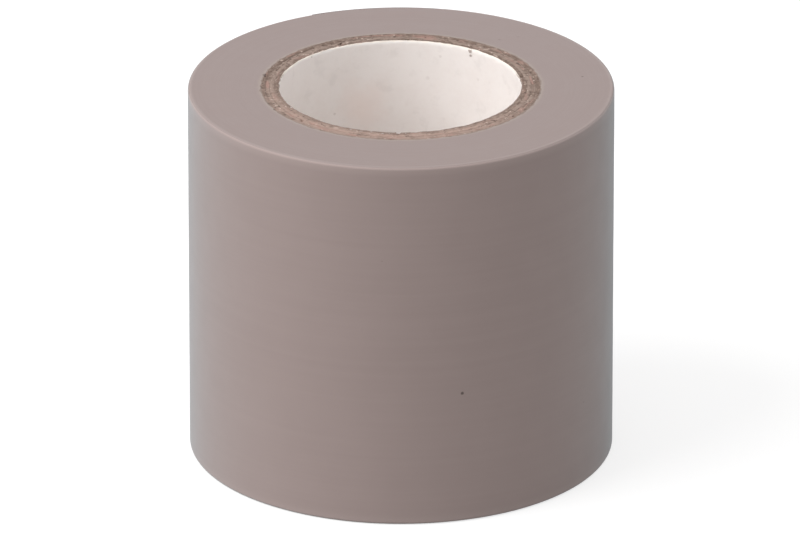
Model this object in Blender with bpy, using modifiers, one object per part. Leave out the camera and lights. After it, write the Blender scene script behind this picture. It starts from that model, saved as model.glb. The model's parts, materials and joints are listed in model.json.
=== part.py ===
"""Roll of PVC sealing tape on a spiral-wound paper core, at its real size.

Units are metres, with +Z up. The roll stands on one end: the origin is on its axis, in its
lower end face. The free end of the tape is on the far side, towards +Y.
"""

import math

import bmesh
import bpy
from mathutils import Matrix
from mathutils.bvhtree import BVHTree

# Tape. The roll is slit from a long log, so tape and core share one width.
TAPE_WIDTH = 0.050
TAPE_LENGTH = 10.0
FILM_THICKNESS = 0.000100
ADHESIVE_THICKNESS = 0.000030
TURN_GAP = 0.0000045

# Free end: where it leaves the outer turn, seen from above, and how much of it is loose.
FREE_END_ANGLE = math.radians(78)
FREE_END_LENGTH = 0.018
CUT_GAP = 0.000020

# Paper core: a white liner inside kraft plies, each a strip wound as a helix edge to edge.
CORE_BORE = 0.03175
LINER_THICKNESS = 0.00020
PLY_THICKNESS = 0.00047
PLY_COUNT = 4
GLUE_GAP = 0.000030
STRIP_ADVANCE = 0.095
SEAM_GAP = 0.00040

# Where each strip's seam comes out of the lower end face, and the turn from one ply to the next.
LINER_SEAM_ANGLE = math.radians(80)
SEAM_STAGGER = math.radians(104)

# Flats round one turn. Every layer has its corners at the same angles, so thin gaps stay open.
TURN_STEPS = 72

FULL_TURN = 2 * math.pi
STEP = FULL_TURN / TURN_STEPS
SAME_ANGLE = 1e-4
SHARP_ANGLE = math.radians(30)

TURN_PITCH = FILM_THICKNESS + ADHESIVE_THICKNESS + 2 * TURN_GAP
BORE_RADIUS = CORE_BORE / 2
FIRST_PLY_RADIUS = BORE_RADIUS + LINER_THICKNESS + GLUE_GAP
PLY_PITCH = PLY_THICKNESS + GLUE_GAP
CORE_RADIUS = FIRST_PLY_RADIUS + PLY_COUNT * PLY_PITCH - GLUE_GAP
WINDING_RADIUS = CORE_RADIUS + GLUE_GAP

# The end face of the wound tape has the area of the tape's edge: its length times its pitch.
ROLL_RADIUS = math.sqrt(WINDING_RADIUS**2 + TAPE_LENGTH * TURN_PITCH / math.pi)

# Colour and roughness of the materials
PVC_GREY = ((0.37, 0.31, 0.30), 0.45)
ADHESIVE_GREY = ((0.30, 0.25, 0.24), 0.25)
KRAFT_BROWN = ((0.31, 0.22, 0.17), 0.90)
LINER_WHITE = ((0.78, 0.74, 0.70), 0.85)


def clear_scene():
    for obj in list(bpy.data.objects):
        bpy.data.objects.remove(obj, do_unlink=True)


def make_material(name, finish):
    """A material of its own for one node, from a colour and a roughness."""
    colour, roughness = finish
    material = bpy.data.materials.new(name)
    material.use_nodes = True
    shader = material.node_tree.nodes["Principled BSDF"]
    shader.inputs["Base Color"].default_value = (*colour, 1.0)
    shader.inputs["Roughness"].default_value = roughness
    return material


def make_collection(name):
    collection = bpy.data.collections.new(name)
    bpy.context.scene.collection.children.link(collection)
    return collection


def add_node(name, data, collection, finish):
    data.materials.append(make_material(name, finish))
    obj = bpy.data.objects.new(name, data)
    collection.objects.link(obj)
    return obj


def on_flats(radius, angle):
    """Point on a many-sided ring whose corners are at the shared angles, at the given radius."""
    past_corner = (angle - FREE_END_ANGLE) % STEP
    to_flat = radius * math.cos(STEP / 2) / math.cos(past_corner - STEP / 2)
    return to_flat * math.cos(angle), to_flat * math.sin(angle)


def shared_angles(start, end, breaks=()):
    """The shared corner angles between start and end, with both ends and any breaks added."""
    fixed = [start, *breaks, end]
    first = math.ceil((start - FREE_END_ANGLE) / STEP)
    last = math.floor((end - FREE_END_ANGLE) / STEP)
    corners = [FREE_END_ANGLE + index * STEP for index in range(first, last + 1)]
    spare = [corner for corner in corners if all(abs(corner - angle) > SAME_ANGLE for angle in fixed)]
    return sorted(fixed + spare)


def rolled_sheet(name, columns, thickness, collection, finish):
    """A sheet rolled about Z. Each column is an angle, the radius of the sheet's inner side,
    and the heights of its lower and upper edges, which meet where the sheet runs to a point."""
    mesh = bpy.data.meshes.new(name)
    sheet = bmesh.new()
    rails = []
    for angle, radius, low, high in columns:
        x, y = on_flats(radius, angle)
        heights = (low, high) if high > low else (low,)
        rails.append([sheet.verts.new((x, y, height)) for height in heights])
    for rail, following in zip(rails, rails[1:]):
        sheet.faces.new([rail[0], following[0], *following[1:], *reversed(rail[1:])])
    sheet.to_mesh(mesh)
    sheet.free()
    mesh.shade_smooth()
    mesh.set_sharp_from_angle(angle=SHARP_ANGLE)
    obj = add_node(name, mesh, collection, finish)
    shell = obj.modifiers.new("Sheet thickness", "SOLIDIFY")
    shell.thickness = thickness
    shell.offset = 1.0
    return obj


def core_strip(name, radius, thickness, seam_angle, collection, finish):
    """One ply: a strip wound as a helix and cut off level at both ends of the core."""
    slope = STRIP_ADVANCE / FULL_TURN
    half_gap = SEAM_GAP / 2
    start = seam_angle - FULL_TURN + half_gap / slope
    end = seam_angle + (TAPE_WIDTH - half_gap) / slope
    leaves_bottom = seam_angle - half_gap / slope
    meets_top = seam_angle - FULL_TURN + (TAPE_WIDTH + half_gap) / slope
    columns = []
    for angle in shared_angles(start, end, breaks=(leaves_bottom, meets_top)):
        seam_height = (angle - seam_angle) * slope
        low = max(0.0, seam_height + half_gap)
        high = min(TAPE_WIDTH, seam_height + STRIP_ADVANCE - half_gap)
        if angle in (start, end):
            high = low
        columns.append((angle, radius, low, high))
    return rolled_sheet(name, columns, thickness, collection, finish)


def tape_radius(angle):
    """Radius of the tape's outer side. It grows by one pitch in each turn, up to the free end."""
    return ROLL_RADIUS + TURN_PITCH * (angle - FREE_END_ANGLE) / FULL_TURN


def tape_layer(name, start, end, depth, thickness, collection, finish):
    """One coat of the wound tape, with its inner side at a depth below the tape's outer side."""
    columns = []
    for angle in shared_angles(start, end):
        columns.append((angle, tape_radius(angle) - depth, 0.0, TAPE_WIDTH))
    return rolled_sheet(name, columns, thickness, collection, finish)


def tape_pair(name, start, end, collection):
    """A stretch of tape: the film, and under it the adhesive coat."""
    film_depth = FILM_THICKNESS
    adhesive_depth = FILM_THICKNESS + TURN_GAP + ADHESIVE_THICKNESS
    film = tape_layer(
        name + "_film", start, end, film_depth, FILM_THICKNESS, collection, PVC_GREY
    )
    adhesive = tape_layer(
        name + "_adhesive", start, end, adhesive_depth, ADHESIVE_THICKNESS, collection, ADHESIVE_GREY
    )
    return film, adhesive


def add_outline(curve, points):
    spline = curve.splines.new("POLY")
    spline.points.add(len(points) - 1)
    for point, (x, y) in zip(spline.points, points):
        point.co = (x, y, 0.0, 1.0)
    spline.use_cyclic_u = True


def inner_turns(name, collection, finish):
    """All turns under the outer one, as a ring whose outside is the last of these turns. It steps
    down by one pitch where that turn goes on as the outer turn."""
    below_outer_turn = FREE_END_ANGLE - 2 * FULL_TURN
    turn = [below_outer_turn + index * STEP for index in range(TURN_STEPS + 1)]
    curve = bpy.data.curves.new(name, "CURVE")
    curve.dimensions = "2D"
    curve.fill_mode = "BOTH"
    curve.extrude = TAPE_WIDTH / 2
    add_outline(curve, [on_flats(tape_radius(angle), angle) for angle in turn])
    add_outline(curve, [on_flats(WINDING_RADIUS, angle) for angle in turn[:-1]])
    obj = add_node(name, curve, collection, finish)
    obj.location.z = TAPE_WIDTH / 2
    return obj


def hang_on_hinge(name, pieces, collection):
    """Parents the pieces to an empty on the line where the free end leaves the roll."""
    x, y = on_flats(ROLL_RADIUS, FREE_END_ANGLE)
    hinge = bpy.data.objects.new(name, None)
    hinge.location = (x, y, 0.0)
    collection.objects.link(hinge)
    for piece in pieces:
        piece.data.transform(Matrix.Translation((-x, -y, 0.0)))
        piece.parent = hinge


def least_gap(upper, lower):
    """Smallest distance from the points of one node to the surface of another."""
    graph = bpy.context.evaluated_depsgraph_get()
    surface = BVHTree.FromObject(lower, graph)
    to_lower = lower.matrix_world.inverted() @ upper.matrix_world
    points = upper.evaluated_get(graph).to_mesh().vertices
    return min(surface.find_nearest(to_lower @ point.co)[3] for point in points)


def main():
    clear_scene()
    roll = make_collection("pvc_sealing_tape_roll")

    core_strip("core_liner", BORE_RADIUS, LINER_THICKNESS, LINER_SEAM_ANGLE, roll, LINER_WHITE)
    for index in range(PLY_COUNT):
        radius = FIRST_PLY_RADIUS + index * PLY_PITCH
        seam_angle = LINER_SEAM_ANGLE + (index + 1) * SEAM_STAGGER
        core_strip(f"core_ply_{index + 1}", radius, PLY_THICKNESS, seam_angle, roll, KRAFT_BROWN)

    winding = inner_turns("tape_winding", roll, PVC_GREY)
    cut = CUT_GAP / ROLL_RADIUS
    outer_start = FREE_END_ANGLE - FULL_TURN + cut
    outer_film, outer_adhesive = tape_pair("outer_turn", outer_start, FREE_END_ANGLE - cut, roll)
    free_end_tip = FREE_END_ANGLE + FREE_END_LENGTH / ROLL_RADIUS
    free_film, free_adhesive = tape_pair("free_end", FREE_END_ANGLE, free_end_tip, roll)
    hang_on_hinge("free_end_hinge", (free_film, free_adhesive), roll)

    bpy.context.view_layer.update()
    print(f"Roll diameter {2 * ROLL_RADIUS:.5f} m, {TAPE_LENGTH} m of tape")
    print(f"Turns on the core: {(ROLL_RADIUS - WINDING_RADIUS) / TURN_PITCH:.1f}")
    print(f"Least gap, outer turn to the turn below: {least_gap(outer_adhesive, winding):.7f} m")
    print(f"Least gap, free end to the outer turn: {least_gap(free_adhesive, outer_film):.7f} m")


main()
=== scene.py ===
"""Looks of a roll of PVC sealing tape: fine meshes, materials, light and camera.

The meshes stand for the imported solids. Units are metres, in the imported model's frame: +Z is along
the roll's axis, and the viewer is at -Y.
"""

import json
import math

import bpy
import numpy as np
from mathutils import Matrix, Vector, noise


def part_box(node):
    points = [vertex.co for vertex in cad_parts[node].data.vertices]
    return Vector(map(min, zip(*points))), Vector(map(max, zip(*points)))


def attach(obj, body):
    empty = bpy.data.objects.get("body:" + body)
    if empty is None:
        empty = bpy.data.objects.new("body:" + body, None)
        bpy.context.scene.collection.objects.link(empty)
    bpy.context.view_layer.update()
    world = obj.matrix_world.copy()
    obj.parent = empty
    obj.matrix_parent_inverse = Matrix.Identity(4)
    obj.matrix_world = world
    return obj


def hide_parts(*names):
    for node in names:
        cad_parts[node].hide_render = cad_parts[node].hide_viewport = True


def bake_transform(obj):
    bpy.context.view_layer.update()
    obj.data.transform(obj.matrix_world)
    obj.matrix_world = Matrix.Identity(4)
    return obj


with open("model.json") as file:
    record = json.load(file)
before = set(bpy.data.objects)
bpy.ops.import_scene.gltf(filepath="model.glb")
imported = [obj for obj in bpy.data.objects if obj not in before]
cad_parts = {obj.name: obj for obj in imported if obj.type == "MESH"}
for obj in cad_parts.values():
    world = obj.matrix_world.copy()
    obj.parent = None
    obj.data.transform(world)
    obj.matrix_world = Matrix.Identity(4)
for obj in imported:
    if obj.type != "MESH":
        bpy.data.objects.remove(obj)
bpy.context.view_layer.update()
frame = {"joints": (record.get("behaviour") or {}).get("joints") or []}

FULL_TURN = 2 * math.pi
MM = 0.001
SHARP_ANGLE = math.radians(50)
NOISE_SHIFT = Vector((17.0, 5.0, 29.0))

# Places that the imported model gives: the line where the free end leaves the roll, and the roll's height
HINGE = Vector(frame["joints"][0]["pos_m"])
ROLL_RADIUS = math.hypot(HINGE.x, HINGE.y)
FREE_END_ANGLE = math.atan2(HINGE.y, HINGE.x)
TAPE_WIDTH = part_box("tape_winding")[1][2]

# Tape
FILM_THICKNESS = 0.100 * MM
ADHESIVE_THICKNESS = 0.030 * MM
TURN_GAP = 0.0045 * MM
TURN_PITCH = FILM_THICKNESS + ADHESIVE_THICKNESS + 2 * TURN_GAP
FREE_END_LENGTH = 18.0 * MM
RIM_DEPTH = 0.42 * MM
RIM_HEIGHT = 0.42 * MM

# Paper core
BORE_RADIUS = 31.75 * MM / 2
LINER_THICKNESS = 0.20 * MM
PLY_THICKNESS = 0.47 * MM
GLUE_GAP = 0.03 * MM
PLY_COUNT = 4
FIRST_PLY_RADIUS = BORE_RADIUS + LINER_THICKNESS + GLUE_GAP
PLY_PITCH = PLY_THICKNESS + GLUE_GAP
WINDING_RADIUS = FIRST_PLY_RADIUS + PLY_COUNT * PLY_PITCH
STRIP_ADVANCE = 95.0 * MM
SEAM_GAP = 0.40 * MM
LINER_SEAM_ANGLE = math.radians(80)
SEAM_STAGGER = math.radians(104)

# Wound turns. Three lines of points lie across each turn's edge: the groove, the inner and the outer side.
TURN_COLUMNS = 120
EDGE_SHARES = (0.0, 0.30, 0.80)
EDGE_DEPTHS = (0.006 * MM, 0.0, 0.0)
LAST_TURN_RADIUS = ROLL_RADIUS - 2 * TURN_PITCH
WINDING_COLUMNS = round((LAST_TURN_RADIUS - WINDING_RADIUS) / TURN_PITCH * TURN_COLUMNS)
FACE_UNEVENNESS = 0.015 * MM
FACE_WAVE_SIZE = 11 * MM
TURN_UNEVENNESS = 0.004 * MM
TURN_WAVE_LENGTH = 9 * MM
TURN_WAVE_DEPTH = 0.31 * MM

# Outer turn and free end. The tip's lower corner lifts most, and the columns crowd towards the peel line.
OUTER_COLUMNS = 360
FREE_COLUMNS = 72
WALL_POINTS = 56
RIM_POINTS = 8
RIM_LAP = TURN_PITCH - 2 * TURN_GAP
RIM_EDGE = 0.003 * MM
FILM_WAVE = 0.012 * MM
FILM_WAVE_SIZE = (9 * MM, 9 * MM, 6 * MM)
FILM_RIPPLE = 0.003 * MM
FILM_RIPPLE_SIZE = (14 * MM, 14 * MM, 0.9 * MM)
TIP_LIFT = 0.32 * MM
UPPER_LIFT = 0.10
LOOSE_FROM = 0.55
TIP_WAVE = 0.12 * MM
TIP_WAVE_SIZE = 5 * MM
ADHESIVE_SETBACK = 0.15 * MM
BEND_CROWDING = 1.6

# Kraft plies and their frayed ends, which come nearly level with the tape where they meet it
PLY_COLUMNS = 840
PLY_EDGE_POINTS = 8
PLY_SINK = (0.04 * MM, 0.02 * MM, 0.05 * MM, 0.02 * MM)
PLY_FRAY = 0.11 * MM
FRAY_SIZE = 0.65 * MM
FINE_FRAY_SIZE = 0.4 * FRAY_SIZE
BROAD_FRAY_SIZE = 12 * FRAY_SIZE
FINE_FRAY_SHARE = 0.6
FRAY_MEAN = 0.6
FRAY_CONTRAST = 0.8
BROAD_FRAY_CONTRAST = 0.5
PLY_CROWN = 0.035 * MM
SEAM_DEPTH = 0.30 * MM
LEVEL_SHARE = 0.95
LEVEL_REACH = 0.22 * MM
PLY_SPREAD = 0.010 * MM
OUTER_SPREAD = 0.026 * MM

# Torn places in the upper end of the outer ply: the angle and width of each
TORN_PLACES = (
    (math.radians(167.5), 0.36 * MM),
    (math.radians(180.6), 0.20 * MM),
    (math.radians(199.0), 0.22 * MM),
    (math.radians(206.0), 0.24 * MM),
    (math.radians(-7.6), 0.24 * MM),
)
TORN_DEPTH = 0.35 * MM

# Lean of the core's upper end into the bore, and the levels at which the plies' walls follow it
LEAN = 0.40 * MM
LEAN_REACH = 2.20 * MM
LEAN_ANGLE = math.radians(-75)
LEAN_CONTRAST = 0.7
LEAN_WAVES = 0.3
LEAN_WAVE_SIZE = 3 * MM
WALL_LEVELS = (6.0 * MM, 4.5 * MM, 3.4 * MM, 2.5 * MM, 1.7 * MM, 1.1 * MM, 0.65 * MM)

# Liner, the wear of its upper edge, and the raised lip of a small tear
LINER_COLUMNS_PER_TURN = 480
LINER_HEIGHT_POINTS = 48
LINER_TIP = 0.25 * MM
LINER_SINK = 0.04 * MM
LINER_FRAY = 0.12 * MM
LINER_FRAY_SIZE = 0.8 * MM
LINER_WAVE = 0.010 * MM
LINER_WAVE_SIZE = 5 * MM
LINER_WEAR = 0.17 * MM
WEAR_MEAN = 1.2
WEAR_CONTRAST = 0.9
WEAR_SIZE = 0.6 * MM
WEAR_REACH = 0.17 * MM
REACH_CONTRAST = 1.3
REACH_SIZE = 1.3 * MM
LEAST_REACH = 0.5
NICK_ANGLE = math.radians(55.2)
NICK_HEIGHT = 49.5 * MM
NICK_DEPTH = 0.14 * MM
NICK_HALF_WIDTH = 0.35 * MM
NICK_HALF_HEIGHT = 0.30 * MM

# Materials. Waves are counted in a metre, levels are values of a pattern, and edges are shares of a radius.
TONE_LEVELS = (0.30, 0.70)
SPECK_BROWN = (0.110, 0.078, 0.070)

# Film
FILM_GREY = (0.392, 0.305, 0.286)
FILM_PALE = (0.405, 0.316, 0.297)
# The paler colour along both rims, in the band below, is a painted highlight
FILM_RIM_HIGHLIGHT = (0.434, 0.341, 0.321)
FILM_RIM_BAND = (0.40 * MM, 1.50 * MM)
FILM_STREAK_WAVES = (25.0, 25.0, 1400.0)
FILM_MOTTLE_WAVES = (160.0, 160.0, 130.0)
FILM_MOTTLE_SHARE = 0.45
FILM_GLOSS_WAVES = (420.0, 420.0, 300.0)
FILM_GLOSS_LEVELS = (0.25, 0.75)
FILM_ROUGHNESS = (0.58, 0.68)
FILM_SPECULAR = 0.20
FILM_SHEEN = 0.56
FILM_SHEEN_ROUGHNESS = 0.46
FILM_SHEEN_TINT = (0.72, 0.93, 1.00)
FILM_PEEL_WAVES = (1500.0, 1500.0, 1900.0)
FILM_RELIEF = 0.0022 * MM

# Dark specks on the film's outside: angle, height, radius and strength
FILM_SPECKS = (
    (math.radians(-73.4), 18.1 * MM, 0.21 * MM, 0.9),
    (math.radians(-95.0), 37.0 * MM, 0.09 * MM, 0.35),
    (math.radians(-31.0), 11.5 * MM, 0.10 * MM, 0.35),
    (math.radians(150.0), 31.0 * MM, 0.12 * MM, 0.45),
)
SPECK_EDGES = (0.7, 1.3)
SPECK_WAVES = (9000.0,) * 3
SPECK_RAGGEDNESS = 0.12 * MM

# Slit edges of the tape. Kraft dust and brown smears from the core lie on the first turns.
EDGE_GREY = (0.300, 0.237, 0.225)
EDGE_PALE = (0.313, 0.249, 0.236)
# The paler rim colour below is a painted highlight near the outer rim
EDGE_RIM_HIGHLIGHT = (0.335, 0.266, 0.252)
EDGE_RING_WAVES = (20.0, 5200.0)
EDGE_MOTTLE_WAVES = (330.0,) * 3
EDGE_MOTTLE_SHARE = 0.5
EDGE_GRAIN_WAVES = (2600.0,) * 3
EDGE_RELIEF = 0.004 * MM
EDGE_ROUGHNESS = (0.56, 0.66)
RIM_POLISH = 0.18
RIM_BAND = (ROLL_RADIUS - 0.80 * MM, ROLL_RADIUS - 0.30 * MM)
DUST_BEIGE = (0.353, 0.287, 0.256)
DUST_STRENGTH = 0.90
DUST_WAVES = (1700.0,) * 3
DUST_SPREAD = 0.50 * MM
DUST_BAND = (WINDING_RADIUS + 0.40 * MM, WINDING_RADIUS + 0.95 * MM)
SMEAR_BROWN = (0.221, 0.162, 0.136)
SMEAR_STRENGTH = 0.85
SMEAR_WAVES = (900.0,) * 3
SMEAR_SPREAD = 0.75 * MM
SMEAR_BAND = (WINDING_RADIUS + 0.44 * MM, WINDING_RADIUS + 0.58 * MM)
TORN_STRENGTH = 0.75
TORN_EDGES = (0.5, 1.3)
TORN_RAGGEDNESS = 0.6

# Specks on the upper slit edges: X, Y, radius and strength
EDGE_SPECKS = (
    (23.61 * MM, 3.32 * MM, 0.16 * MM, 0.75),
    (12.90 * MM, 16.10 * MM, 0.24 * MM, 0.22),
    (15.30 * MM, 17.10 * MM, 0.22 * MM, 0.18),
)

# Adhesive
ADHESIVE_GREY = (0.250, 0.198, 0.188)
ADHESIVE_DARK = (0.205, 0.160, 0.150)
ADHESIVE_STREAK_WAVES = (40.0, 40.0, 900.0)
ADHESIVE_PIT_WAVES = (1700.0,) * 3
ADHESIVE_ROUGHNESS = (0.18, 0.34)
ADHESIVE_RELIEF = 0.006 * MM

# Kraft board
KRAFT_DARK = (0.188, 0.132, 0.106)
KRAFT_PALE = (0.330, 0.249, 0.210)
KRAFT_PAINTED_LIGHT = (0.479, 0.335, 0.284)
KRAFT_RED = (0.396, 0.249, 0.211)
KRAFT_FLECK = (0.565, 0.443, 0.386)
KRAFT_PIT = (0.104, 0.072, 0.058)
KRAFT_FIBRE_WAVES = (600.0, 3600.0)
KRAFT_GRAIN_WAVES = (1500.0,) * 3
KRAFT_GRAIN_SHARE = 0.6
KRAFT_LEVELS = (0.38, 0.62)
# Paler patches on the side towards the viewer: painted light
PAINTED_LIGHT_SLANT = 0.2
PAINTED_LIGHT_BAND = (-17 * MM, 2 * MM)
PAINTED_LIGHT_WAVES = (420.0,) * 3
PAINTED_LIGHT_LEVELS = (0.30, 0.55)
PAINTED_LIGHT_STRENGTHS = (0.15, 0.90)
PAINTED_LIGHT_CONTRAST = 4.0
RED_WAVES = (330.0, 1500.0)
RED_LEVELS = (0.54, 0.66)
FLECK_WAVES = (1500.0,) * 3
FLECK_LEVELS = (0.64, 0.72)
FLECK_STRENGTH = 0.75
PIT_WAVES = (1700.0,) * 3
PIT_SHIFT = (0.3, 0.1, 0.0)
PIT_LEVELS = (0.28, 0.37)
PIT_STRENGTH = 0.75
KRAFT_ROUGHNESS = 0.92
KRAFT_SPECULAR = 0.25
KRAFT_RELIEF = 0.05 * MM

# How much paler each ply is than the mean, and how strong its reddish streaks are, from the bore outwards
PLY_TONES = ((-0.05, 0.35), (0.06, 0.45), (0.01, 0.85), (-0.05, 0.55))

# How far apart the plies take their patterns, so that no two look the same
PLY_PATTERN_STEP = 0.2

# Liner paper. Its cut ends are brown with kraft dust, apart from a cream stretch at the back, which is a
# painted highlight.
LINER_WHITE = (0.955, 0.902, 0.872)
LINER_SHADE = (0.932, 0.872, 0.840)
LINER_PINK = (0.950, 0.830, 0.780)
LINER_DUSTY = (0.800, 0.748, 0.720)
LINER_CUT = (0.311, 0.235, 0.200)
LINER_CUT_HIGHLIGHT = (0.960, 0.880, 0.800)
LINER_CLOUD_WAVES = (240.0,) * 3
LINER_FIBRE_WAVES = (1800.0,) * 3
LINER_FIBRE_SHARE = 0.35
LINER_LEVELS = (0.32, 0.62)
LINER_DUST_WAVES = (520.0,) * 3
LINER_DUST_LEVELS = (0.54, 0.72)
LINER_DUST_STRENGTH = 0.32
LINER_ROUGHNESS = 0.80
LINER_SPECULAR = 0.30
LINER_RELIEF = 0.010 * MM
CUT_SPREAD = 0.40 * MM
CUT_BAND = (LINER_SINK + 0.31 * MM, LINER_SINK + 0.41 * MM)
CUT_HIGHLIGHT_BAND = (2 * MM, 6 * MM)

# Marks on the liner: angle, height, radius and strength. The first two are the ends of a small tear.
LINER_MARKS = (
    (math.radians(55.2), 49.62 * MM, 0.34 * MM, 0.80),
    (math.radians(55.0), 48.98 * MM, 0.24 * MM, 0.75),
    (math.radians(137.0), 49.70 * MM, 0.12 * MM, 0.45),
    (math.radians(123.2), 40.60 * MM, 0.20 * MM, 0.20),
    (math.radians(77.3), 44.80 * MM, 0.28 * MM, 0.10),
    (math.radians(71.0), 48.05 * MM, 0.20 * MM, 0.14),
    (math.radians(50.5), 45.90 * MM, 0.20 * MM, 0.10),
)
MARK_EDGES = (0.5, 1.2)
SMUDGE_ANGLE = math.radians(110)
SMUDGE_HEIGHT = 41.1 * MM
SMUDGE_RADIUS = 5.0 * MM
SMUDGE_EDGES = (0.0, 1.0)
SMUDGE_STRENGTH = 0.7

# Floor, even light and lamp. The floor glows white where it is seen, and sends only a little light back.
FLOOR_SIZE = 8.0
FLOOR_DROP = 0.02 * MM
FLOOR_PALE = (0.42, 0.42, 0.42)
FLOOR_BOUNCE = (0.25, 0.25, 0.25)
FLOOR_SEEN_GLOW = 0.68
FLOOR_ROUGHNESS = 0.9
WHITE = (1.0, 1.0, 1.0)
AMBIENT = 0.70
KEY_AZIMUTH = math.radians(-70)
KEY_ELEVATION = math.radians(45)
KEY_DISTANCE = 3.0
KEY_SIZE = 2.4
KEY_POWER = 62.5

# Camera: its distance from the roll's middle, its height, and where that middle falls in the image
IMAGE_WIDTH = 800
IMAGE_HEIGHT = 533
FOCAL_PIXELS = 13473
MIDDLE_PIXEL = (400.89, 263.44)
CAMERA_DISTANCE = 1.758
CAMERA_ELEVATION = math.radians(23.02)
SENSOR_MM = 36.0


# Mesh building

def polar(radius, angle, height):
    """Points round the roll's axis, from arrays of radius, angle and height."""
    radius, angle, height = np.broadcast_arrays(radius, angle, height)
    return np.stack([radius * np.cos(angle), radius * np.sin(angle), height], axis=-1)


def soft_noise(points, size, seed):
    """Smooth random values between about -1 and 1, which change over a distance of the given size.
    The size is one number, or one each for X, Y and Z."""
    shift = seed * NOISE_SHIFT
    flat = (points / np.asarray(size)).reshape(-1, 3)
    values = [noise.noise(Vector(point) + shift) for point in flat]
    return np.array(values).reshape(points.shape[:-1])


def bell(offset, width):
    """A smooth hump: 1 where the offset is zero, and about a third at the width."""
    return np.exp(-(offset / width) ** 2)


def turn_between(angle, other):
    """Signed angle from the other one, within half a turn."""
    return (angle - other + math.pi) % FULL_TURN - math.pi


def add_mesh(name, points, faces):
    mesh = bpy.data.meshes.new(name)
    mesh.from_pydata(points.reshape(-1, 3).tolist(), [], faces)
    mesh.shade_smooth()
    mesh.set_sharp_from_angle(angle=SHARP_ANGLE)
    obj = bpy.data.objects.new(name, mesh)
    bpy.context.scene.collection.objects.link(obj)
    return obj


def quads(index):
    """Faces of a grid of point numbers, seen from the side where its rows run right and its columns up."""
    corners = [index[:-1, :-1], index[1:, :-1], index[1:, 1:], index[:-1, 1:]]
    return np.stack(corners, axis=-1).reshape(-1, 4).tolist()


def ring_solid(name, loops):
    """A solid ring. Each row of loops is the outline of its section at one angle."""
    rows, columns = loops.shape[:2]
    index = np.arange(rows * columns).reshape(rows, columns)
    index = np.vstack([index, index[:1]])
    index = np.hstack([index, index[:, :1]])
    return add_mesh(name, loops, quads(index))


def thick_sheet(name, front, back):
    """A closed sheet between two grids of points, with rows along the sheet and columns up it."""
    rows, columns = front.shape[:2]
    near = np.arange(rows * columns).reshape(rows, columns)
    far = near + rows * columns
    faces = quads(near) + quads(far[:, ::-1])
    faces += quads(np.stack([near[:, -1], far[:, -1]], axis=1))
    faces += quads(np.stack([far[:, 0], near[:, 0]], axis=1))
    faces += quads(np.stack([far[0], near[0]]))
    faces += quads(np.stack([near[-1], far[-1]]))
    return add_mesh(name, np.concatenate([front, back]), faces)


def dress(obj, material, slot, *nodes):
    """Gives a piece its material, and hides the imported parts of the nodes it stands for. The slot is not
    used.
    """
    obj.data.materials.append(material)
    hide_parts(*nodes)


# Wound tape

def tape_radius(angle):
    """Radius of the tape's outer side, which grows by one pitch in each turn, up to the free end."""
    return ROLL_RADIUS + TURN_PITCH * (angle - FREE_END_ANGLE) / FULL_TURN


def rim_drop(depth):
    """How far the rounded rim falls below the end face, at a depth below the roll's outer side."""
    inside = np.clip(1 - depth / RIM_DEPTH, 0.0, 1.0)
    return RIM_HEIGHT * (1 - np.sqrt(1 - inside**2))


def end_relief(radius, angle, depth, seed):
    """How far each turn's edge lies below the roll's full height, without the grooves between turns."""
    points = polar(radius, angle, 0.0)
    broad = soft_noise(points, FACE_WAVE_SIZE, seed)
    around = points[..., :2] / TURN_WAVE_LENGTH
    across = radius[..., None] / TURN_WAVE_DEPTH
    single = soft_noise(np.concatenate([around, across], axis=-1), 1.0, seed + 1)
    return FACE_UNEVENNESS * (1 + broad) + TURN_UNEVENNESS * (1 + single) + rim_drop(depth)


def turn_line(share, edge_depth):
    """One line of points that winds outwards with the strip: radius, angle, and how far it lies below
    the upper and the lower end. The groove's line goes one turn further, and closes the last turn."""
    length = WINDING_COLUMNS + 1 if share else WINDING_COLUMNS + TURN_COLUMNS + 1
    turns_from_end = (np.arange(length) - WINDING_COLUMNS) / TURN_COLUMNS
    radius = LAST_TURN_RADIUS + TURN_PITCH * (turns_from_end + share)
    if not share:
        radius[:TURN_COLUMNS] = WINDING_RADIUS
    angle = FREE_END_ANGLE + FULL_TURN * turns_from_end
    depth = TURN_PITCH * (np.floor(1 - turns_from_end) + 1 - share)
    upper = edge_depth + end_relief(radius, angle, depth, seed=3)
    lower = edge_depth + end_relief(radius, angle, depth, seed=5)
    return np.stack([radius, angle, upper, lower])


def wound_turns():
    """All turns under the outer one, as a strip that winds outwards from the core. Both ends show each
    turn's edge as a low ridge, with a groove where the adhesive lies between one turn and the next."""
    lines = [turn_line(share, depth) for share, depth in zip(EDGE_SHARES, EDGE_DEPTHS)]
    radius, angle, upper, lower = np.concatenate(lines, axis=1)
    top = polar(radius, angle, TAPE_WIDTH - upper)
    bottom = polar(radius, angle, lower)

    line_ends = np.cumsum([line.shape[1] for line in lines])
    groove, inner_side, outer_side = np.split(np.arange(len(radius)), line_ends[:-1])
    rails = [groove[:WINDING_COLUMNS + 1], inner_side, outer_side, groove[TURN_COLUMNS:]]
    face = quads(np.stack(rails))
    start_edge = [rail[0] for rail in rails]
    finish_edge = [rail[-1] for rail in reversed(rails)]
    border = [groove[TURN_COLUMNS::-1], start_edge, groove[WINDING_COLUMNS:], finish_edge]
    below = len(radius)
    faces = list(face)
    faces += [[below + corner for corner in reversed(quad)] for quad in face]
    for path in border:
        for corner, following in zip(path[:-1], path[1:]):
            faces.append([following, corner, below + corner, below + following])
    return add_mesh("wound_turns", np.concatenate([top, bottom]), faces)


# Outer turn and free end

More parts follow.
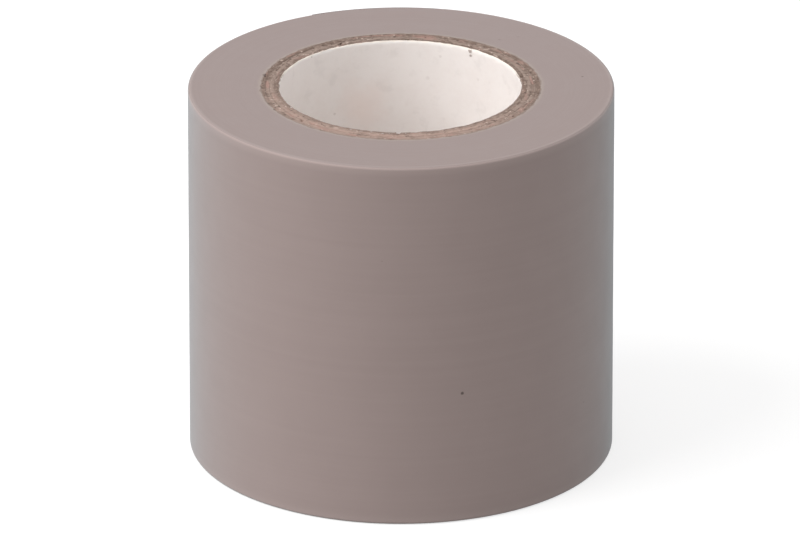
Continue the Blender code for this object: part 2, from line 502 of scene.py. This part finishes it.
def film_profile():
    """Depth and height of the film's outer side, from its lower rim up to its upper one. Both rims lap
    over the adhesive, as the slitting knife leaves them."""
    least = math.asin(1 - RIM_LAP / RIM_DEPTH)
    lean = np.linspace(least, math.pi / 2, RIM_POINTS)
    rim_depth = RIM_DEPTH * (1 - np.sin(lean))
    rim_height = RIM_HEIGHT * (1 - np.cos(lean))
    wall_height = np.linspace(RIM_HEIGHT, TAPE_WIDTH - RIM_HEIGHT, WALL_POINTS)[1:-1]
    depth = np.concatenate([rim_depth, np.zeros_like(wall_height), rim_depth[::-1]])
    height = np.concatenate([rim_height, wall_height, TAPE_WIDTH - rim_height[::-1]])
    return depth, height


def coat_profile(depth):
    """Depth and height of a coat under the film, which stays clear of the rounded rims."""
    rim = rim_drop(depth - 2 * TURN_GAP)
    height = np.linspace(rim, TAPE_WIDTH - rim, WALL_POINTS)
    return np.full_like(height, depth), height


def film_unevenness(angle, height):
    """The film's low waves, and the finer ripples which run round the roll."""
    points = polar(ROLL_RADIUS, angle, height)
    waves = soft_noise(points, FILM_WAVE_SIZE, seed=7)
    ripples = soft_noise(points, FILM_RIPPLE_SIZE, seed=8)
    return FILM_WAVE * waves + FILM_RIPPLE * ripples


def tape_sheet(name, angle, profile, thickness, lift=0.0):
    """A stretch of film or adhesive along the spiral. The angle has a row for each step along the tape,
    and may change up the width. The lift is how far it stands off the roll."""
    depth, height = profile
    radius = tape_radius(angle) + lift + film_unevenness(angle, height)
    back_depth = np.maximum(depth.min() + thickness, depth + RIM_EDGE)
    front = polar(radius - depth, angle, height)
    back = polar(radius - back_depth, angle, height)
    return thick_sheet(name, front, back)


def outer_turn(name, profile, thickness):
    angle = np.linspace(FREE_END_ANGLE - FULL_TURN, FREE_END_ANGLE, OUTER_COLUMNS + 1)[:, None]
    return tape_sheet(name, angle, profile, thickness)


def free_end(name, profile, thickness, setback):
    """The loose stretch. Its cut tip is a little wavy, and its lower corner stands off the roll."""
    height = profile[1]
    tip_line = polar(ROLL_RADIUS, FREE_END_ANGLE, height)
    length = FREE_END_LENGTH - setback + TIP_WAVE * (soft_noise(tip_line, TIP_WAVE_SIZE, seed=9) - 1)
    share = np.linspace(0.0, 1.0, FREE_COLUMNS)[:, None] ** BEND_CROWDING
    angle = FREE_END_ANGLE + share * length / ROLL_RADIUS
    rise = np.clip((share - LOOSE_FROM) / (1 - LOOSE_FROM), 0.0, 1.0) ** 2
    lift = TIP_LIFT * rise * (1 - (1 - UPPER_LIFT) * height / TAPE_WIDTH)
    return tape_sheet(name, angle, profile, thickness, lift)


def add_tape(film, film_edge, adhesive):
    winding = wound_turns()
    dress(winding, film_edge, "pvc_film", "tape_winding")
    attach(winding, "roll")

    coat_depth = FILM_THICKNESS + TURN_GAP
    turn_film = outer_turn("outer_film", film_profile(), FILM_THICKNESS)
    dress(turn_film, film, "pvc_film", "outer_turn_film")
    turn_coat = outer_turn("outer_adhesive", coat_profile(coat_depth), ADHESIVE_THICKNESS)
    dress(turn_coat, adhesive, "tape_adhesive", "outer_turn_adhesive")
    for piece in (turn_film, turn_coat):
        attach(piece, "roll")

    end_film = free_end("loose_film", film_profile(), FILM_THICKNESS, 0.0)
    dress(end_film, film, "pvc_film", "free_end_film")
    end_coat = free_end("loose_adhesive", coat_profile(coat_depth), ADHESIVE_THICKNESS, ADHESIVE_SETBACK)
    dress(end_coat, adhesive, "tape_adhesive", "free_end_adhesive")
    for piece in (end_film, end_coat):
        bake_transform(piece)


# Paper core

def leaning_share(angle):
    """1 on the side where the core leans in most, and 0 on the other side."""
    return np.clip(0.5 + LEAN_CONTRAST * np.cos(angle - LEAN_ANGLE), 0.0, 1.0)


def core_lean(angle, below_end):
    """How far the core's inner side leans into the bore, at a distance below the core's upper end."""
    waves = soft_noise(polar(BORE_RADIUS, angle, 0.0), LEAN_WAVE_SIZE, seed=63)
    share = np.clip(leaning_share(angle) + LEAN_WAVES * waves, 0.0, None)
    return LEAN * share * bell(below_end, LEAN_REACH)


def ply_end(radius, angle, inner, seam_angle, seed):
    """How far a ply's cut end lies below the core's full height: frayed, a little lower along its two
    glue lines, notched where the ply's own edges meet, and level with the tape where it meets the tape."""
    points = polar(radius, angle, 0.0)
    across = (radius - inner) / PLY_THICKNESS
    coarse = soft_noise(points, FRAY_SIZE, seed)
    fray = coarse + FINE_FRAY_SHARE * soft_noise(points, FINE_FRAY_SIZE, seed + 1)
    broad = soft_noise(points, BROAD_FRAY_SIZE, seed + 2)
    uneven = FRAY_MEAN + FRAY_CONTRAST * fray + BROAD_FRAY_CONTRAST * broad
    crown = PLY_CROWN * (2 * across - 1) ** 4
    notch = SEAM_DEPTH * bell(turn_between(angle, seam_angle) * radius, SEAM_GAP / 2)
    depth = PLY_FRAY * np.clip(uneven, 0.0, None) + crown + notch
    return depth * (1 - LEVEL_SHARE * bell(WINDING_RADIUS - radius, LEVEL_REACH))


def torn_places(radius, angle):
    """Depth of the torn places, which all lie along the core's outer edge."""
    depth = np.zeros_like(radius)
    for torn_angle, width in TORN_PLACES:
        beside = turn_between(angle, torn_angle) * radius
        depth += TORN_DEPTH * bell(np.hypot(beside, WINDING_RADIUS - radius), width)
    return depth


def leaned(radius, angle, below_end):
    """Radius of a place in the plies. The inner ply leans in with the liner, the outer side stays."""
    share = (WINDING_RADIUS - radius) / (WINDING_RADIUS - FIRST_PLY_RADIUS)
    return radius - share * core_lean(angle, below_end)


def ply_ring(number):
    """One kraft ply, numbered from the bore outwards."""
    inner = FIRST_PLY_RADIUS + (number - 1) * PLY_PITCH
    angles = np.linspace(0.0, FULL_TURN, PLY_COLUMNS, endpoint=False)
    radii = np.linspace(inner, inner + PLY_THICKNESS, PLY_EDGE_POINTS)
    radius, angle = np.meshgrid(radii, angles)
    bottom_seam = LINER_SEAM_ANGLE + number * SEAM_STAGGER
    top_seam = bottom_seam + FULL_TURN * TAPE_WIDTH / STRIP_ADVANCE
    sink = PLY_SINK[number - 1]
    top_depth = sink + ply_end(radius, angle, inner, top_seam, seed=11) + torn_places(radius, angle)
    bottom_depth = sink + ply_end(radius, angle, inner, bottom_seam, seed=15)
    outer_spread = OUTER_SPREAD if number == PLY_COUNT else PLY_SPREAD
    spread = np.linspace(-PLY_SPREAD, outer_spread, PLY_EDGE_POINTS)
    bottom = polar(radius + spread, angle, bottom_depth)
    top = polar(leaned(radius, angle, top_depth) + spread, angle, TAPE_WIDTH - top_depth)
    level, turn = np.meshgrid(WALL_LEVELS, angles)
    outer_wall = polar(leaned(radii[-1], turn, level), turn, TAPE_WIDTH - level)
    inner_wall = polar(leaned(radii[0], turn, level), turn, TAPE_WIDTH - level)
    section = [bottom, outer_wall, top[:, ::-1], inner_wall[:, ::-1]]
    return ring_solid(f"ply_ring_{number}", np.concatenate(section, axis=1))


def liner_grid():
    """Angle and height of the liner's points. It is a strip wound as a helix whose edges meet in a fine
    seam, with soft cut ends."""
    slope = STRIP_ADVANCE / FULL_TURN
    start = LINER_SEAM_ANGLE - FULL_TURN + (SEAM_GAP / 2 + LINER_TIP) / slope
    end = LINER_SEAM_ANGLE + (TAPE_WIDTH - SEAM_GAP / 2 - LINER_TIP) / slope
    count = round((end - start) / FULL_TURN * LINER_COLUMNS_PER_TURN)
    angle = np.linspace(start, end, count)[:, None]
    seam_height = (angle - LINER_SEAM_ANGLE) * slope
    rim = polar(BORE_RADIUS, angle, 0.0)
    fray = LINER_FRAY * (1 + soft_noise(rim, LINER_FRAY_SIZE, seed=61)) / 2
    foot = LINER_FRAY * (1 + soft_noise(rim, LINER_FRAY_SIZE, seed=62)) / 2
    low = np.maximum(LINER_SINK + foot, seam_height + SEAM_GAP / 2)
    high = np.minimum(TAPE_WIDTH - LINER_SINK - fray, seam_height + STRIP_ADVANCE - SEAM_GAP / 2)
    share = (1 - np.cos(np.linspace(0.0, math.pi, LINER_HEIGHT_POINTS))) / 2
    return angle, low + share * (high - low)


def liner_inward(angle, height):
    """How far the liner stands into the bore: the core's lean, the paper's low waves, and the lip of a
    small tear."""
    points = polar(BORE_RADIUS, angle, height)
    waves = LINER_WAVE * (1 + soft_noise(points, LINER_WAVE_SIZE, seed=64))
    beside_nick = turn_between(angle, NICK_ANGLE) * BORE_RADIUS
    lip = NICK_DEPTH * bell(beside_nick, NICK_HALF_WIDTH) * bell(height - NICK_HEIGHT, NICK_HALF_HEIGHT)
    return core_lean(angle, TAPE_WIDTH - height) + waves + lip


def liner_wear(angle, height):
    """How much of the liner's upper edge is worn away, most of all where the core doesn't lean."""
    rim = polar(BORE_RADIUS, angle, 0.0)
    chewed = WEAR_MEAN + WEAR_CONTRAST * soft_noise(rim, WEAR_SIZE, seed=65)
    wear = LINER_WEAR * np.clip(chewed * (1 - leaning_share(angle)), 0.0, 1.0)
    further = 1 + REACH_CONTRAST * soft_noise(rim, REACH_SIZE, seed=66)
    reach = WEAR_REACH * np.clip(further, LEAST_REACH, None)
    return wear * bell(TAPE_WIDTH - LINER_SINK - height, reach)


def bore_liner():
    angle, height = liner_grid()
    inward = liner_inward(angle, height)
    front = polar(BORE_RADIUS + LINER_THICKNESS - inward, angle, height)
    back = polar(BORE_RADIUS + liner_wear(angle, height) - inward, angle, height)
    return thick_sheet("bore_liner", front, back)


def add_core(liner_paper, kraft_boards):
    liner = bore_liner()
    dress(liner, liner_paper, "white_paper", "core_liner")
    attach(liner, "roll")
    for number, board in enumerate(kraft_boards, start=1):
        ply = ply_ring(number)
        dress(ply, board, "kraft_board", f"core_ply_{number}")
        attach(ply, "roll")


# Shader nodes

def new_material(name):
    material = bpy.data.materials.new(name)
    material.use_nodes = True
    tree = material.node_tree
    return material, tree, tree.nodes["Principled BSDF"]


def feed(tree, socket, source):
    """Links a socket to another node's output, or sets it to a plain value."""
    if isinstance(source, bpy.types.NodeSocket):
        tree.links.new(source, socket)
    elif isinstance(source, tuple) and len(source) == 3 and socket.type == "RGBA":
        socket.default_value = (*source, 1.0)
    else:
        socket.default_value = source


def maths(tree, operation, *sources):
    node = tree.nodes.new("ShaderNodeMath")
    node.operation = operation
    for socket, source in zip(node.inputs, sources):
        feed(tree, socket, source)
    return node.outputs[0]


def weighted(tree, first, second, share):
    """Two values added together: the second with the given share, and the first with the rest."""
    rest = maths(tree, "MULTIPLY", first, 1.0 - share)
    return maths(tree, "ADD", rest, maths(tree, "MULTIPLY", second, share))


def mix_colour(tree, share, first, second):
    node = tree.nodes.new("ShaderNodeMix")
    node.data_type = "RGBA"
    feed(tree, node.inputs[0], share)
    feed(tree, node.inputs[6], first)
    feed(tree, node.inputs[7], second)
    return node.outputs[2]


def ramp(tree, value, low, high, to_low=0.0, to_high=1.0):
    """A smooth step of the value, from one level to another."""
    node = tree.nodes.new("ShaderNodeMapRange")
    node.interpolation_type = "SMOOTHSTEP"
    for socket, source in zip(node.inputs, (value, low, high, to_low, to_high)):
        feed(tree, socket, source)
    return node.outputs[0]


def place(tree):
    """Where a point of the piece is, in metres at rest."""
    return tree.nodes.new("ShaderNodeTexCoord").outputs["Object"]


def coordinate(tree, position, axis):
    node = tree.nodes.new("ShaderNodeSeparateXYZ")
    feed(tree, node.inputs[0], position)
    return node.outputs[axis]


def from_nearer_end(tree, position):
    """Distance of a point from the nearer end of the roll."""
    height = coordinate(tree, position, "Z")
    return maths(tree, "MINIMUM", maths(tree, "SUBTRACT", TAPE_WIDTH, height), height)


def stretch(tree, position, scale):
    node = tree.nodes.new("ShaderNodeVectorMath")
    node.operation = "MULTIPLY"
    feed(tree, node.inputs[0], position)
    feed(tree, node.inputs[1], scale)
    return node.outputs[0]


def shifted(tree, position, offset):
    node = tree.nodes.new("ShaderNodeVectorMath")
    feed(tree, node.inputs[0], position)
    feed(tree, node.inputs[1], offset)
    return node.outputs[0]


def distance_to(tree, position, point):
    node = tree.nodes.new("ShaderNodeVectorMath")
    node.operation = "DISTANCE"
    feed(tree, node.inputs[0], position)
    feed(tree, node.inputs[1], tuple(point))
    return node.outputs["Value"]


def distance_from_axis(tree, position):
    flat = stretch(tree, position, (1.0, 1.0, 0.0))
    return distance_to(tree, flat, (0.0, 0.0, 0.0))


def speckle(tree, position, waves, detail=2.0, roughness=0.5):
    """Noise around one half, with the given number of waves in a metre along X, Y and Z."""
    node = tree.nodes.new("ShaderNodeTexNoise")
    feed(tree, node.inputs["Vector"], stretch(tree, position, waves))
    feed(tree, node.inputs["Scale"], 1.0)
    feed(tree, node.inputs["Detail"], detail)
    feed(tree, node.inputs["Roughness"], roughness)
    return node.outputs[0]


def rings(tree, position, around, across):
    """Noise drawn out round the roll's axis, with a number of waves in a metre around and across it."""
    flat = stretch(tree, position, (around, around, 0.0))
    axes = tree.nodes.new("ShaderNodeCombineXYZ")
    feed(tree, axes.inputs["Z"], maths(tree, "MULTIPLY", distance_from_axis(tree, position), across))
    return speckle(tree, shifted(tree, flat, axes.outputs[0]), (1.0, 1.0, 1.0), detail=3.0)


def spot(tree, position, centre, radius, edges, pattern, raggedness, strength):
    """A mark that fades out between two shares of its radius. The pattern, whose mean is one half, makes
    its edge ragged over the given width."""
    solid, faded = (share * radius + raggedness / 2 for share in edges)
    away = maths(tree, "MULTIPLY_ADD", pattern, raggedness, distance_to(tree, position, centre))
    return ramp(tree, away, solid, faded, strength, 0.0)


def bump(tree, shader, pattern, height):
    """Fine relief of the given height in metres."""
    node = tree.nodes.new("ShaderNodeBump")
    feed(tree, node.inputs["Strength"], 1.0)
    feed(tree, node.inputs["Distance"], height)
    feed(tree, node.inputs["Height"], pattern)
    feed(tree, shader.inputs["Normal"], node.outputs[0])


# Materials

def film_colour(tree, position, streaks):
    """Grey with faint streaks and soft mottling, paler rims as a painted highlight, and a few dark specks.
    """
    mottle = speckle(tree, position, FILM_MOTTLE_WAVES, detail=3.0)
    tone = weighted(tree, streaks, mottle, FILM_MOTTLE_SHARE)
    colour = mix_colour(tree, ramp(tree, tone, *TONE_LEVELS), FILM_GREY, FILM_PALE)
    # Paler along both rims: a painted highlight
    near_rim = ramp(tree, from_nearer_end(tree, position), *FILM_RIM_BAND, 1.0, 0.0)
    colour = mix_colour(tree, near_rim, colour, FILM_RIM_HIGHLIGHT)
    ragged = speckle(tree, position, SPECK_WAVES)
    for angle, height, radius, strength in FILM_SPECKS:
        centre = polar(ROLL_RADIUS, angle, height)
        mark = spot(tree, position, centre, radius, SPECK_EDGES, ragged, SPECK_RAGGEDNESS, strength)
        colour = mix_colour(tree, mark, colour, SPECK_BROWN)
    return colour


def film_material():
    """The film's outside: matte and a little uneven in its gloss, with a cool sheen and fine peel."""
    material, tree, shader = new_material("pvc_film_outside")
    position = place(tree)
    streaks = speckle(tree, position, FILM_STREAK_WAVES, detail=3.0)
    feed(tree, shader.inputs["Base Color"], film_colour(tree, position, streaks))
    gloss = speckle(tree, position, FILM_GLOSS_WAVES)
    feed(tree, shader.inputs["Roughness"], ramp(tree, gloss, *FILM_GLOSS_LEVELS, *FILM_ROUGHNESS))
    feed(tree, shader.inputs["Specular IOR Level"], FILM_SPECULAR)
    feed(tree, shader.inputs["Sheen Weight"], FILM_SHEEN)
    feed(tree, shader.inputs["Sheen Roughness"], FILM_SHEEN_ROUGHNESS)
    feed(tree, shader.inputs["Sheen Tint"], FILM_SHEEN_TINT)
    peel = speckle(tree, position, FILM_PEEL_WAVES)
    bump(tree, shader, maths(tree, "ADD", peel, streaks), FILM_RELIEF)
    return material


def film_edge_colour(tree, position, mottle, near_rim):
    """Faint rings, beige dust and brown smears next to the core, a paler outer rim as a painted highlight,
    and a few dark specks.
    """
    radius = distance_from_axis(tree, position)
    tone = weighted(tree, rings(tree, position, *EDGE_RING_WAVES), mottle, EDGE_MOTTLE_SHARE)
    colour = mix_colour(tree, ramp(tree, tone, *TONE_LEVELS), EDGE_GREY, EDGE_PALE)
    dust = maths(tree, "MULTIPLY_ADD", speckle(tree, position, DUST_WAVES), DUST_SPREAD, radius)
    colour = mix_colour(tree, ramp(tree, dust, *DUST_BAND, DUST_STRENGTH, 0.0), colour, DUST_BEIGE)
    rubbed_off = speckle(tree, position, SMEAR_WAVES, detail=3.0, roughness=0.6)
    smear = maths(tree, "MULTIPLY_ADD", rubbed_off, SMEAR_SPREAD, radius)
    colour = mix_colour(tree, ramp(tree, smear, *SMEAR_BAND, SMEAR_STRENGTH, 0.0), colour, SMEAR_BROWN)
    # Paler near the outer rim: a painted highlight
    colour = mix_colour(tree, near_rim, colour, EDGE_RIM_HIGHLIGHT)
    marks = []
    for angle, width in TORN_PLACES:
        marks.append((polar(WINDING_RADIUS, angle, TAPE_WIDTH), width, TORN_STRENGTH))
    for x, y, size, strength in EDGE_SPECKS:
        marks.append(((x, y, TAPE_WIDTH), size, strength))
    for centre, size, strength in marks:
        mark = spot(tree, position, centre, size, TORN_EDGES, rubbed_off, TORN_RAGGEDNESS * size, strength)
        colour = mix_colour(tree, mark, colour, SPECK_BROWN)
    return colour


def film_edge_material():
    """The tape's slit edges, with a fine grain and a smoother rim."""
    material, tree, shader = new_material("pvc_film_slit_edges")
    position = place(tree)
    mottle = speckle(tree, position, EDGE_MOTTLE_WAVES, detail=4.0, roughness=0.6)
    near_rim = ramp(tree, distance_from_axis(tree, position), *RIM_BAND)
    feed(tree, shader.inputs["Base Color"], film_edge_colour(tree, position, mottle, near_rim))
    dull = ramp(tree, mottle, *TONE_LEVELS, *EDGE_ROUGHNESS)
    feed(tree, shader.inputs["Roughness"], maths(tree, "MULTIPLY_ADD", near_rim, -RIM_POLISH, dull))
    grain = speckle(tree, position, EDGE_GRAIN_WAVES, detail=3.0)
    bump(tree, shader, grain, EDGE_RELIEF)
    return material


def adhesive_material():
    """The sticky side: darker and glossier than the film, with fine pits from the turn it lay on."""
    material, tree, shader = new_material("tape_adhesive_coat")
    position = place(tree)
    streaks = speckle(tree, position, ADHESIVE_STREAK_WAVES, detail=3.0)
    feed(tree, shader.inputs["Base Color"], mix_colour(tree, streaks, ADHESIVE_DARK, ADHESIVE_GREY))
    pits = speckle(tree, position, ADHESIVE_PIT_WAVES, detail=3.0)
    feed(tree, shader.inputs["Roughness"], ramp(tree, pits, *TONE_LEVELS, *ADHESIVE_ROUGHNESS))
    bump(tree, shader, pits, ADHESIVE_RELIEF)
    return material


def painted_light_share(tree, position):
    """How much painted light the board gets: paler in patches, on the side towards the viewer."""
    across = coordinate(tree, position, "X")
    away = coordinate(tree, position, "Y")
    slant = maths(tree, "MULTIPLY_ADD", across, PAINTED_LIGHT_SLANT, away)
    patches = ramp(tree, speckle(tree, position, PAINTED_LIGHT_WAVES), *PAINTED_LIGHT_LEVELS, *PAINTED_LIGHT_STRENGTHS)
    return maths(tree, "MULTIPLY", ramp(tree, slant, *PAINTED_LIGHT_BAND, 1.0, 0.0), patches)


def kraft_material(number, tone_shift, redness):
    """Cut kraft board: fibres that follow the wall, coarse grain, reddish streaks, pale flecks and dark
    pits. The side towards the viewer is paler in patches: painted light."""
    material, tree, shader = new_material(f"kraft_board_{number}")
    position = place(tree)
    own_place = shifted(tree, position, (0.0, 0.0, PLY_PATTERN_STEP * number))
    fibres = rings(tree, own_place, *KRAFT_FIBRE_WAVES)
    grain = speckle(tree, position, KRAFT_GRAIN_WAVES, detail=3.0, roughness=0.6)
    tone = weighted(tree, fibres, grain, KRAFT_GRAIN_SHARE)
    pale_share = ramp(tree, maths(tree, "ADD", tone, tone_shift), *KRAFT_LEVELS)
    colour = mix_colour(tree, pale_share, KRAFT_DARK, KRAFT_PALE)
    # Paler in patches on the side towards the viewer: painted light
    painted_light_tone = maths(tree, "ADD", grain, PAINTED_LIGHT_CONTRAST * tone_shift)
    painted_light = mix_colour(tree, painted_light_tone, KRAFT_PALE, KRAFT_PAINTED_LIGHT)
    colour = mix_colour(tree, painted_light_share(tree, position), colour, painted_light)
    reddish = ramp(tree, rings(tree, own_place, *RED_WAVES), *RED_LEVELS, 0.0, redness)
    colour = mix_colour(tree, reddish, colour, KRAFT_RED)
    flecks = speckle(tree, own_place, FLECK_WAVES, detail=1.0)
    colour = mix_colour(tree, ramp(tree, flecks, *FLECK_LEVELS, 0.0, FLECK_STRENGTH), colour, KRAFT_FLECK)
    pits = speckle(tree, shifted(tree, own_place, PIT_SHIFT), PIT_WAVES, detail=1.0)
    colour = mix_colour(tree, ramp(tree, pits, *PIT_LEVELS, PIT_STRENGTH, 0.0), colour, KRAFT_PIT)
    feed(tree, shader.inputs["Base Color"], colour)
    feed(tree, shader.inputs["Roughness"], KRAFT_ROUGHNESS)
    feed(tree, shader.inputs["Specular IOR Level"], KRAFT_SPECULAR)
    bump(tree, shader, tone, KRAFT_RELIEF)
    return material


def liner_wall_colour(tree, position, fibres):
    """White paper, softly clouded, with dusty patches, a pinkish smudge and a few marks."""
    clouds = speckle(tree, position, LINER_CLOUD_WAVES, detail=4.0, roughness=0.6)
    tone = weighted(tree, clouds, fibres, LINER_FIBRE_SHARE)
    colour = mix_colour(tree, ramp(tree, tone, *LINER_LEVELS), LINER_SHADE, LINER_WHITE)
    dust = speckle(tree, position, LINER_DUST_WAVES, detail=3.0, roughness=0.6)
    dusty = ramp(tree, dust, *LINER_DUST_LEVELS, 0.0, LINER_DUST_STRENGTH)
    colour = mix_colour(tree, dusty, colour, LINER_DUSTY)
    centre = polar(BORE_RADIUS, SMUDGE_ANGLE, SMUDGE_HEIGHT)
    smudge = spot(
        tree, position, centre, SMUDGE_RADIUS, SMUDGE_EDGES, clouds, SMUDGE_RADIUS, SMUDGE_STRENGTH
    )
    colour = mix_colour(tree, smudge, colour, LINER_PINK)
    for angle, height, radius, strength in LINER_MARKS:
        centre = polar(BORE_RADIUS, angle, height)
        mark = spot(tree, position, centre, radius, MARK_EDGES, fibres, radius, strength)
        colour = mix_colour(tree, mark, colour, LINER_CUT)
    return colour


def liner_material():
    """The white liner's paper, and its cut ends."""
    material, tree, shader = new_material("white_liner_paper")
    position = place(tree)
    fibres = speckle(tree, position, LINER_FIBRE_WAVES, detail=3.0)
    wall = liner_wall_colour(tree, position, fibres)
    brown = mix_colour(tree, fibres, LINER_CUT, KRAFT_PALE)
    # Cream on the cut ends at the back: a painted highlight
    back_highlight_share = ramp(tree, coordinate(tree, position, "Y"), *CUT_HIGHLIGHT_BAND)
    cut_end = mix_colour(tree, back_highlight_share, brown, LINER_CUT_HIGHLIGHT)
    ragged = maths(tree, "MULTIPLY_ADD", fibres, CUT_SPREAD, from_nearer_end(tree, position))
    on_end = ramp(tree, ragged, *CUT_BAND, 1.0, 0.0)
    feed(tree, shader.inputs["Base Color"], mix_colour(tree, on_end, wall, cut_end))
    feed(tree, shader.inputs["Roughness"], LINER_ROUGHNESS)
    feed(tree, shader.inputs["Specular IOR Level"], LINER_SPECULAR)
    bump(tree, shader, fibres, LINER_RELIEF)
    return material


# Studio

def seen_directly(tree):
    """1 for rays from the camera, a mirror or a clear surface, and 0 for rays that only light things."""
    path = tree.nodes.new("ShaderNodeLightPath").outputs
    mirrored = maths(tree, "MAXIMUM", path["Is Glossy Ray"], path["Is Transmission Ray"])
    return maths(tree, "MAXIMUM", path["Is Camera Ray"], mirrored)


def add_world():
    """Even light from all round, which looks white where it is seen."""
    world = bpy.data.worlds.new("studio")
    world.use_nodes = True
    bpy.context.scene.world = world
    tree = world.node_tree
    background = tree.nodes["Background"]
    feed(tree, background.inputs["Color"], WHITE)
    strength = maths(tree, "MULTIPLY_ADD", seen_directly(tree), 1.0 - AMBIENT, AMBIENT)
    feed(tree, background.inputs["Strength"], strength)


def add_floor():
    half = FLOOR_SIZE / 2
    corners = np.array([(-half, -half), (half, -half), (half, half), (-half, half)])
    points = np.column_stack([corners, np.full(4, -FLOOR_DROP)])
    floor = add_mesh("floor", points, [[0, 1, 2, 3]])
    material, tree, shader = new_material("pale_floor")
    seen = seen_directly(tree)
    feed(tree, shader.inputs["Base Color"], mix_colour(tree, seen, FLOOR_BOUNCE, FLOOR_PALE))
    feed(tree, shader.inputs["Roughness"], FLOOR_ROUGHNESS)
    feed(tree, shader.inputs["Specular IOR Level"], 0.0)
    feed(tree, shader.inputs["Emission Color"], WHITE)
    feed(tree, shader.inputs["Emission Strength"], maths(tree, "MULTIPLY", seen, FLOOR_SEEN_GLOW))
    floor.data.materials.append(material)


def direction(azimuth, elevation):
    """From the roll's middle towards a place round it. Azimuth 0 is the viewer's side, and positive
    angles are on the right."""
    level = math.cos(elevation)
    return Vector((level * math.sin(azimuth), -level * math.cos(azimuth), math.sin(elevation)))


def aim_at_middle(obj, towards, distance):
    obj.location = Vector((0.0, 0.0, TAPE_WIDTH / 2)) + distance * towards
    obj.rotation_euler = towards.to_track_quat("Z", "Y").to_euler()
    bpy.context.scene.collection.objects.link(obj)


def add_key_light():
    """A large soft lamp, up on the viewer's left."""
    lamp = bpy.data.lights.new("key_light", "AREA")
    lamp.shape = "DISK"
    lamp.size = KEY_SIZE
    lamp.energy = KEY_POWER
    light = bpy.data.objects.new("key_light", lamp)
    aim_at_middle(light, direction(KEY_AZIMUTH, KEY_ELEVATION), KEY_DISTANCE)


def add_camera():
    lens = bpy.data.cameras.new("photo_camera")
    lens.sensor_width = SENSOR_MM
    lens.lens = FOCAL_PIXELS * SENSOR_MM / IMAGE_WIDTH
    lens.shift_x = (IMAGE_WIDTH / 2 - MIDDLE_PIXEL[0]) / IMAGE_WIDTH
    lens.shift_y = (MIDDLE_PIXEL[1] - IMAGE_HEIGHT / 2) / IMAGE_WIDTH
    camera = bpy.data.objects.new("photo_camera", lens)
    aim_at_middle(camera, direction(0.0, CAMERA_ELEVATION), CAMERA_DISTANCE)
    bpy.context.scene.camera = camera


add_tape(film_material(), film_edge_material(), adhesive_material())
boards = [kraft_material(number, *tones) for number, tones in enumerate(PLY_TONES, start=1)]
add_core(liner_material(), boards)
add_world()
add_floor()
add_key_light()
add_camera()
bpy.context.scene.view_settings.view_transform = "Standard"
